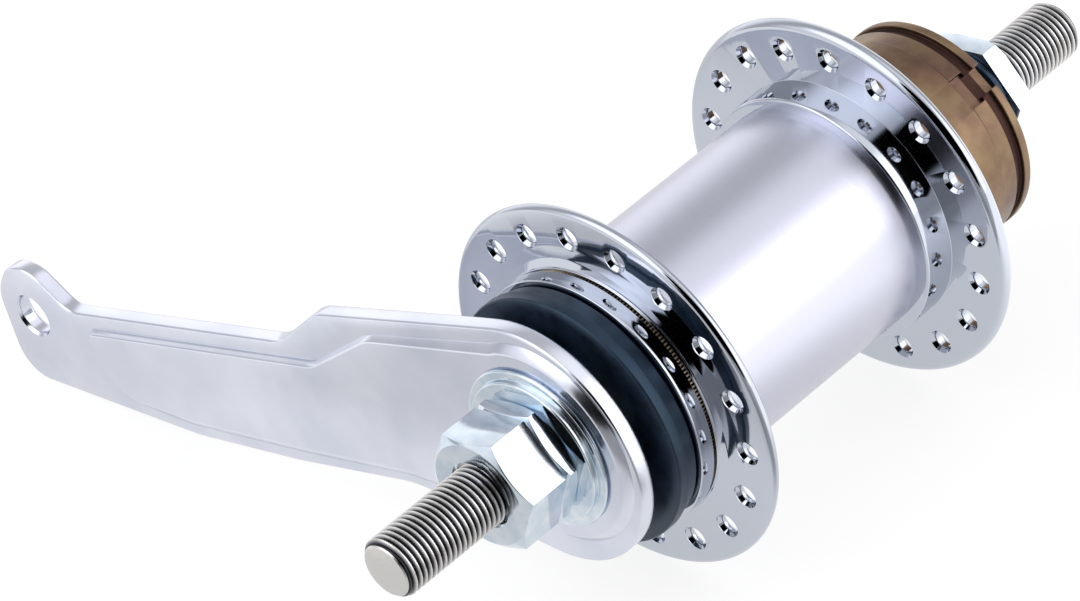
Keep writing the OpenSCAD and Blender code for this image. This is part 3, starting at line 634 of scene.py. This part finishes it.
def make_washers():
    """The stepped washer on the arm, and the washer and cone under the right locknut."""
    hole, r, small_r = axle_r + 0.1, reach("arm_washer"), 22.8 / 2
    step = washer_front + (washer_back - washer_front) * 0.55
    foot_r, foot = r - 0.5, washer_back - 0.25
    finish(turned("arm_washer_body", [
        (hole, washer_front), (small_r, washer_front, 0.3), (small_r, step, 0.1), (r, step, 0.35),
        (r, washer_back - 0.4, 0.1), (foot_r, foot), (foot_r, washer_back), (hole, washer_back)]),
        zinc, "frame_side", "arm_washer")
    start, end = ends("right_washer")
    r = reach("right_washer")
    finish(turned("right_washer_body", [(hole, start), (r, start, 0.25), (r, end, 0.25), (hole, end)],
                  SMALL_STEPS), black, "frame_side", "right_washer")
    start, end = ends("right_cone")
    bore_r, neck_r, race_r, collar_r = axle_r + 0.05, 7.2, 8.8, 7.5
    finish(turned("right_cone_body", [
        (bore_r, start), (neck_r, start), (neck_r, start + 2.5, 0.5), (race_r, start + 4, 0.4),
        (race_r, end - 3.4, 0.4), (collar_r, end - 3.2), (collar_r, end, 0.3), (bore_r, end)],
        SMALL_STEPS), hardened, "frame_side", "right_cone")


# Brake arm

arm_disc_r = 38.4 / 2
arm_disc_centre = (2, -1)
boss_foot_r = 32.8 / 2
boss_top_r = 30 / 2
arm_tip = arm_reach + 7.4
arm_border = 2.7
panel_rise = 1.1
plate_front = arm_front + panel_rise


def on_arm(place):
    """Turns a point of the arm's own outline, out from the axle and up, into a place in space."""
    def spot(out, up):
        return (-out * math.cos(arm_dip) - up * math.sin(arm_dip), place,
                -out * math.sin(arm_dip) + up * math.cos(arm_dip))
    return spot


def arm_outline(corners, radius, centre=(0, 0), arc_steps=6):
    """An arm outline whose two end corners lie on a disc about a centre, closed by the disc's far side."""
    first = math.atan2(corners[0][1] - centre[1], corners[0][0] - centre[0])
    last = math.atan2(corners[-1][1] - centre[1], corners[-1][0] - centre[0])
    sweep = (first - last) % (2 * PI) - 2 * PI
    count = 56
    arc = [(centre[0] + radius * math.cos(last + sweep * k / count),
            centre[1] + radius * math.sin(last + sweep * k / count))
           for k in range(1, count)]
    return rounded(corners, arc_steps, closed=False) + arc


def make_arm():
    """The flat plate, and the raised panel and boss whose walls slope down to their own foot. The corners
    [out from the axle, up, corner radius] were measured on the photo."""
    plate_corners = [
        (4, arm_disc_r - 1.1), (arm_reach * 0.372, 13.4, 7), (arm_reach * 0.468, 6.6, 9),
        (arm_reach - 9.6, 2.4, 5), (arm_reach - 4.2, 7.6, 6), (arm_reach + 1.2, 10, 6),
        (arm_tip - 0.6, 3.4, 7), (arm_tip, -11.6, 5.5), (arm_reach * 0.72, -15.7, 40),
        (arm_reach * 0.52, -15.5, 40), (arm_reach * 0.29, -14, 25), (7, -arm_disc_r - 0.35)]
    panel_corners = [
        (4, boss_top_r - 0.6), (arm_reach * 0.275, 14.2 - arm_border, 8),
        (arm_reach * 0.405, 6.9 - arm_border, 9), (arm_reach - 14, 2.6 - arm_border, 1.5),
        (arm_reach - 14.8, -13.2 + arm_border, 8), (arm_reach * 0.72, -14.7 + arm_border, 40),
        (arm_reach * 0.5, -14.4 + arm_border, 40), (arm_reach * 0.29, -13.6 + arm_border, 25),
        (8, -boss_top_r + 1.6)]
    foot_corners = [
        (4, boss_foot_r - 0.6), (arm_reach * 0.275, 14.9 - arm_border, 8),
        (arm_reach * 0.405, 7.4 - arm_border, 9), (arm_reach - 13.7, 3.0 - arm_border, 1.5),
        (arm_reach - 14.3, -14.4 + arm_border, 8), (arm_reach * 0.72, -16.6 + arm_border, 40),
        (arm_reach * 0.5, -16.3 + arm_border, 40), (arm_reach * 0.29, -15.3 + arm_border, 25),
        (8, -boss_foot_r + 1.6)]
    arm = slab("brake_arm_body", arm_outline(plate_corners, arm_disc_r, arm_disc_centre),
               on_arm(plate_front), arm_back - plate_front)
    break_edges(arm, 0.4, 3, 40)
    panel = loft("arm_panel", arm_outline(panel_corners, boss_top_r), on_arm(arm_front),
                 arm_outline(foot_corners, boss_foot_r), on_arm(plate_front), 0.6)
    break_edges(panel, 0.25, 3, 20)
    cut(arm, panel, "UNION")
    hole = on_arm(0)(arm_reach, 0)
    cut(arm, flared_hole(clip_hole_r, 0.4, 0.45, plate_front, arm_back, hole))
    finish(arm, nickel, "frame_side", "brake_arm", angle=40)


# Shell

cup_r = 17.825
cup_rim_front = left_front - 0.6
flange_thick = 2.4
flange_lip = 0.3
flange_dish = 0.75
dish_curve = ((21.5, 0.43, 3), (23.6, 0.86, 6))  # radius, share of the dish, and rounding
collar_r = 20
outer_collar_r = 20.2
flange_bore_r = barrel_r - 0.4
left_holes_turn = 14.6
right_holes_turn = 4.4


def make_dust_cap():
    """The pressed cap. Its skirt steps out a little behind its face."""
    neck_r, face_r, skirt_r, sheet = 11.05, reach("left_dust_cap"), 39 / 2, 1
    step_front, step_back = cap_front + 1.9, cap_front + 2.2
    finish(turned("left_dust_cap_body", [
        (neck_r, cap_front), (face_r, cap_front, 0.35), (face_r, step_front, 0.12),
        (skirt_r, step_back, 0.12), (skirt_r, cap_back, 0.25), (skirt_r - sheet, cap_back, 0.2),
        (skirt_r - sheet, cap_front + sheet, 0.2), (neck_r, cap_front + sheet)]),
        black, "frame_side", "left_dust_cap")


def make_shell_ring():
    r, inner = reach("left_shell_ring"), cup_r - 1
    finish(turned("left_shell_ring_body", [
        (inner, ring_front), (r, ring_front, 0.2), (r, ring_back, 0.1), (cup_r, ring_back),
        (cup_r, cup_front), (inner, cup_front)]), chrome, "shell", "left_shell_ring")


def spoke_holes(front, back, first):
    """Cutting tools for the ring of spoke holes."""
    return copies_round(flared_hole(spoke_hole_r, 0.5, 0.55, front, back, (spoke_circle_r, 0, 0)),
                        spokes["count"], first)


def make_flanges():
    """The two spoke flanges with their collars. The left one is slightly dished."""
    rim = flange_thick / 2 - 0.02
    face = left_front + flange_lip
    rim_face, back = face + flange_dish, face + flange_thick
    left = turned("left_flange_body", [
        (cup_r, left_front), (outer_collar_r, left_front, 0.12), (outer_collar_r + 0.1, face, 0.1),
        *((r, face + flange_dish * share, curve) for r, share, curve in dish_curve),
        (flange_r, rim_face, rim - flange_dish / 2), (flange_r, back, rim - flange_dish / 2),
        (collar_r, back, 0.08), (collar_r, left_back, 0.4), (flange_bore_r, left_back),
        (flange_bore_r, back - 1), (cup_r, back - 1)])
    cut(left, spoke_holes(rim_face, back, left_holes_turn))
    finish(left, chrome, "shell", "left_flange", angle=35)
    face, back = right_back - flange_thick, right_back
    right = turned("right_flange_body", [
        (flange_bore_r, right_front), (collar_r, right_front, 0.4), (collar_r, face, 0.08),
        (flange_r, face, rim), (flange_r, back, rim), (flange_bore_r, back)])
    cut(right, spoke_holes(face, back, right_holes_turn))
    finish(right, chrome, "shell", "right_flange", angle=35)


def make_barrel():
    bore_r, race_r, race_front = 31.4 / 2, reach("right_ball_cup"), ends("right_ball_cup")[0]
    finish(turned("hub_barrel_body", [
        (bore_r, barrel_front), (barrel_r, barrel_front), (barrel_r, barrel_back), (race_r, barrel_back),
        (race_r, race_front), (bore_r, race_front)], BARREL_STEPS), satin, "shell", "hub_barrel")


def make_cup():
    """The hardened left cup with its knurled rim."""
    teeth, knurl_r, mouth_r = 210, reach("left_ball_cup"), 14.2
    rim_front, rim_back = cup_rim_front, left_front
    cup = turned("left_ball_cup_body", [
        (mouth_r, cup_front), (cup_r, cup_front, 0.2), (cup_r, rim_front), (knurl_r, rim_front),
        (knurl_r, rim_back), (cup_r, rim_back), (cup_r, cup_back), (mouth_r, cup_back)], teeth * 2, 2)
    step = 2 * PI / (teeth * 2)
    root_share = 1 - knurl_depth / knurl_r
    edit(cup)
    choose(cup, lambda p: math.hypot(p.x, p.z) > knurl_r - 0.1
           and round(math.atan2(p.z, p.x) / step) % 2 == 1, "VERT")
    bpy.ops.transform.resize(value=(root_share, 1, root_share),
                             center_override=(0, (rim_front + rim_back) / 2 * MM, 0))
    close_edit()
    finish(cup, knurl_metal, "shell", "left_ball_cup", angle=20)


# Driver

driver_gap = 0.4  # between the right flange and the driver's band
driver_seat_length = 3
lug_slots = 3
lug_slots_turn = 46.1
lug_slot_depth = 2
lug_mouth_width = 4.0
lug_seat_width = 5.3


def make_driver():
    """The driver with its stepped lug slots and snap ring groove, and the ring that closes its mouth."""
    band_r, seat_r, groove_r = reach("driver"), driver_seat_r, driver_groove_r
    groove_front, groove_back = driver_groove_front, driver_groove_back
    seat = groove_front - driver_seat_length
    start, neck_start = right_back + driver_gap, driver_front + 3
    ledge, recess, floor = driver_back - 1, driver_back - 5, driver_back - 8
    neck_r, race_r, mouth_r, recess_r, bore_r, core_r = 10.9, 12.6, 14, 12, 7.5, 6
    driver = turned("driver_body", [
        (core_r, neck_start), (neck_r, neck_start), (neck_r, start - 1), (race_r, start - 0.5),
        (race_r, start), (band_r, start, 0.25), (band_r, seat, 0.2), (seat_r, seat + 0.3, 0.2),
        (seat_r, groove_front, 0.15), (groove_r, groove_front, 0.2), (groove_r, groove_back, 0.2),
        (seat_r, groove_back, 0.15),
        (seat_r, driver_back, 0.4), (mouth_r, driver_back, 0.2), (mouth_r, ledge), (recess_r, ledge),
        (recess_r, recess), (bore_r, floor), (core_r, floor)])
    tool_depth = 6
    tool_middle = band_r - lug_slot_depth + tool_depth / 2
    tools = []
    for width, back in ((lug_mouth_width, driver_back + 1), (lug_seat_width, groove_front + 0.3)):
        front = seat - 0.3
        begin()
        bpy.ops.mesh.primitive_cube_add(size=1, location=(tool_middle * MM, (front + back) / 2 * MM, 0),
                                        scale=(tool_depth * MM, (back - front) * MM, width * MM))
        tool = bpy.context.object
        bpy.ops.object.transform_apply(location=True, rotation=True, scale=True)
        modify(tool, "BEVEL", width=0.25 * MM, segments=2, limit_method="ANGLE",
               angle_limit=math.radians(30))
        tools.append(tool)
    cut(tools[0], tools[1], "UNION")
    cut(driver, copies_round(tools[0], lug_slots, lug_slots_turn))
    break_edges(driver, 0.12, 2, 50)
    finish(driver, brown, "driver", "driver", angle=35)
    front, back = ends("driver_dust_ring")
    ring_hole_r, ring_r = 9.1, 13.98
    finish(turned("driver_dust_ring_body", [
        (ring_hole_r, front), (ring_r, front), (ring_r, back, 0.2), (ring_hole_r, back, 0.3)],
        SMALL_STEPS), black, "driver", "driver_dust_ring")


def paint_inner_pieces():
    """Inner pieces keep their CAD shape and get the finish of their slot."""
    finishes = {"dark_steel": hardened, "ball_steel": balls, "cage_brass": brass, "brown_steel": brown}
    for entry in frame["record"]["subparts"]:
        node = frame["nodes"][entry["node"]]
        if entry["material_slot"] in finishes:
            node.data.materials.clear()
            node.data.materials.append(finishes[entry["material_slot"]])


# Camera, light and floor

CAMERA_PLACE = (0.49666, -0.44602, 0.45925)
CAMERA_HEADING = 140.501
CAMERA_FALL = 34.248
CAMERA_ROLL = -13.4776
CAMERA_LENS = 190.303

# Light from all round the studio, and what soft panels add to it. A panel has the direction that it
# shines from, as a turn round the axle and a part along it, then the radii in degrees of its full glow
# and of its faded edge, and its strength.
ALL_ROUND = 0.62
PANELS = (
    (12, 0.5, 14, 44, 1.7),  # white band below the barrel's middle
    (68, 0.5, 10, 34, 0.55),  # band above the barrel's middle
    (190, 0.45, 20, 55, 0.7),  # the barrel's far upper edge
    (101, -0.526, 18, 40, 1.2),  # upper part of the flange faces and collars
    (137, -0.8, 16, 34, 0.5))  # sloped walls of the arm
# The dark room behind the camera, as the flanges and collars mirror it and as the arm's boss does
DARK_ROOM = ((37, -0.526, 30, 33, 1), (35, -0.93, 15, 19, 1))

# The floor's glow for the camera and its share, the share of the floor's light that the metal mirrors, the
# painted glow of the lamps on their side of the mirrored floor, and the painted shade that darkens it in
# the corner between +X and -Y
FLOOR_GLOW = 1.08
FLOOR_GLOW_SHARE = 0.8
MIRRORED_SHARE = 0.85
PAINTED_LAMP_GLOW = 0.65
PAINTED_CORNER_SHADE = 0.62


def make_camera():
    camera = bpy.data.objects.new("camera", bpy.data.cameras.new("camera"))
    bpy.context.scene.collection.objects.link(camera)
    heading, fall = math.radians(CAMERA_HEADING), math.radians(CAMERA_FALL)
    ahead = Vector((math.cos(heading) * math.cos(fall), math.sin(heading) * math.cos(fall),
                    -math.sin(fall)))
    turn = ahead.to_track_quat("-Z", "Y").to_matrix().to_4x4()
    roll = Matrix.Rotation(math.radians(CAMERA_ROLL), 4, "Z")
    camera.matrix_world = Matrix.Translation(CAMERA_PLACE) @ turn @ roll
    camera.data.lens = CAMERA_LENS
    camera.data.sensor_width = 36
    camera.data.clip_start = 0.01
    bpy.context.scene.camera = camera


def towards(angle, along):
    """A direction given by its angle round the axle, from +X towards +Z, and its part along the axle."""
    side = math.sqrt(1 - along * along)
    return (side * math.cos(math.radians(angle)), along, side * math.sin(math.radians(angle)))


def make_world():
    """A pale studio: soft panels of light round the hub, and the dark of the room behind the camera."""
    world = bpy.data.worlds.new("studio")
    bpy.context.scene.world = world
    world.use_nodes = True
    tree = world.node_tree
    tree.nodes.clear()
    direction = add_node(tree, "ShaderNodeTexCoord").outputs["Generated"]

    def panel(angle, along, inner, outer, strength):
        dot = add_node(tree, "ShaderNodeVectorMath", {"operation": "DOT_PRODUCT", 1: towards(angle, along)},
                       {0: direction})
        return spread(tree, dot.outputs["Value"], 0, strength, math.cos(math.radians(outer)),
                      math.cos(math.radians(inner)), "SMOOTHSTEP")

    light = ALL_ROUND
    for spec in PANELS:
        light = maths(tree, "ADD", light, panel(*spec))
    room = maths(tree, "MAXIMUM", *(panel(*spec) for spec in DARK_ROOM))
    light = maths(tree, "MULTIPLY", light, maths(tree, "SUBTRACT", 1.0, room))
    studio = add_node(tree, "ShaderNodeBackground", {"Color": linear("#FCFCFF")}, {"Strength": light})
    backdrop = add_node(tree, "ShaderNodeBackground", {"Color": (1, 1, 1, 1), "Strength": 1})
    ray = add_node(tree, "ShaderNodeLightPath")
    mix = add_node(tree, "ShaderNodeMixShader", links={
        0: ray.outputs["Is Camera Ray"], 1: studio.outputs[0], 2: backdrop.outputs[0]})
    add_node(tree, "ShaderNodeOutputWorld", links={"Surface": mix.outputs[0]})


def make_floor():
    """A white paper sweep. What the metal mirrors of it carries painted light and shade: a painted glow on
    the lamps' side, between +X and +Y, and painted shade towards -Y. Lengths here are in metres."""
    paper_width, gap = 6, 0.00005
    begin()
    bpy.ops.mesh.primitive_plane_add(size=paper_width, location=(0, 0, floor_z - gap))
    floor = bpy.context.object
    floor.name = "floor"
    material, tree, shader, place = surface("white paper sweep", "#F4F4F6", 0, 0.9)
    glow = add_node(tree, "ShaderNodeEmission", {"Color": (1, 1, 1, 1), "Strength": FLOOR_GLOW})
    spot = add_node(tree, "ShaderNodeSeparateXYZ", links={"Vector": place})

    def slope(axis, start, end, low, high):
        return spread(tree, spot.outputs[axis], low, high, start, end, "SMOOTHSTEP")

    # Painted light and shade of the mirrored floor: near the hub it darkens towards -Y, where the hub's
    # shadow would lie, and far out towards -X it brightens towards -Y.
    painted_light_and_shade = add_node(tree, "ShaderNodeMix", links={
        0: slope("X", -0.075, -0.11, 0, 1), 2: slope("Y", -0.05, -0.078, 1, 0.74),
        3: slope("Y", -0.045, -0.095, 0.9, 1.2)}).outputs["Result"]
    diagonal = add_node(tree, "ShaderNodeVectorMath", {
        "operation": "DOT_PRODUCT", 1: (0.707, 0.707, 0)}, {0: place}).outputs["Value"]
    # Painted glow that stands for the lamps' light on their side of the mirrored floor.
    painted_lamp_glow = spread(tree, diagonal, 0, PAINTED_LAMP_GLOW, 0.02, 0.08, "SMOOTHSTEP")
    # Painted shade in the mirrored floor's corner between +X and -Y.
    corner = maths(tree, "MULTIPLY", slope("X", 0.032, 0.055, 0, PAINTED_CORNER_SHADE),
                   slope("Y", -0.008, -0.03, 0, 1))
    strength = maths(tree, "MULTIPLY", maths(tree, "ADD", painted_light_and_shade, painted_lamp_glow),
                     maths(tree, "SUBTRACT", 1.0, corner))
    # The metal mirrors this emission, with its painted light and shade, in place of the floor.
    sheen = add_node(tree, "ShaderNodeEmission", {"Color": (1, 1, 1, 1)}, {"Strength": strength})
    ray = add_node(tree, "ShaderNodeLightPath")
    seen = add_node(tree, "ShaderNodeMixShader", links={
        0: maths(tree, "MULTIPLY", ray.outputs["Is Camera Ray"], FLOOR_GLOW_SHARE), 1: shader.outputs[0],
        2: glow.outputs[0]})
    reflected = add_node(tree, "ShaderNodeMixShader", links={
        0: maths(tree, "MULTIPLY", ray.outputs["Is Glossy Ray"], MIRRORED_SHARE), 1: seen.outputs[0],
        2: sheen.outputs[0]})
    tree.links.new(reflected.outputs[0], tree.nodes["Material Output"].inputs["Surface"])
    floor.data.materials.append(material)


make_camera()
make_axle()
make_nuts()
make_washers()
make_arm()
make_dust_cap()
make_shell_ring()
make_flanges()
make_barrel()
make_cup()
make_driver()
paint_inner_pieces()
make_world()
make_floor()
bpy.context.scene.view_settings.view_transform = "Standard"
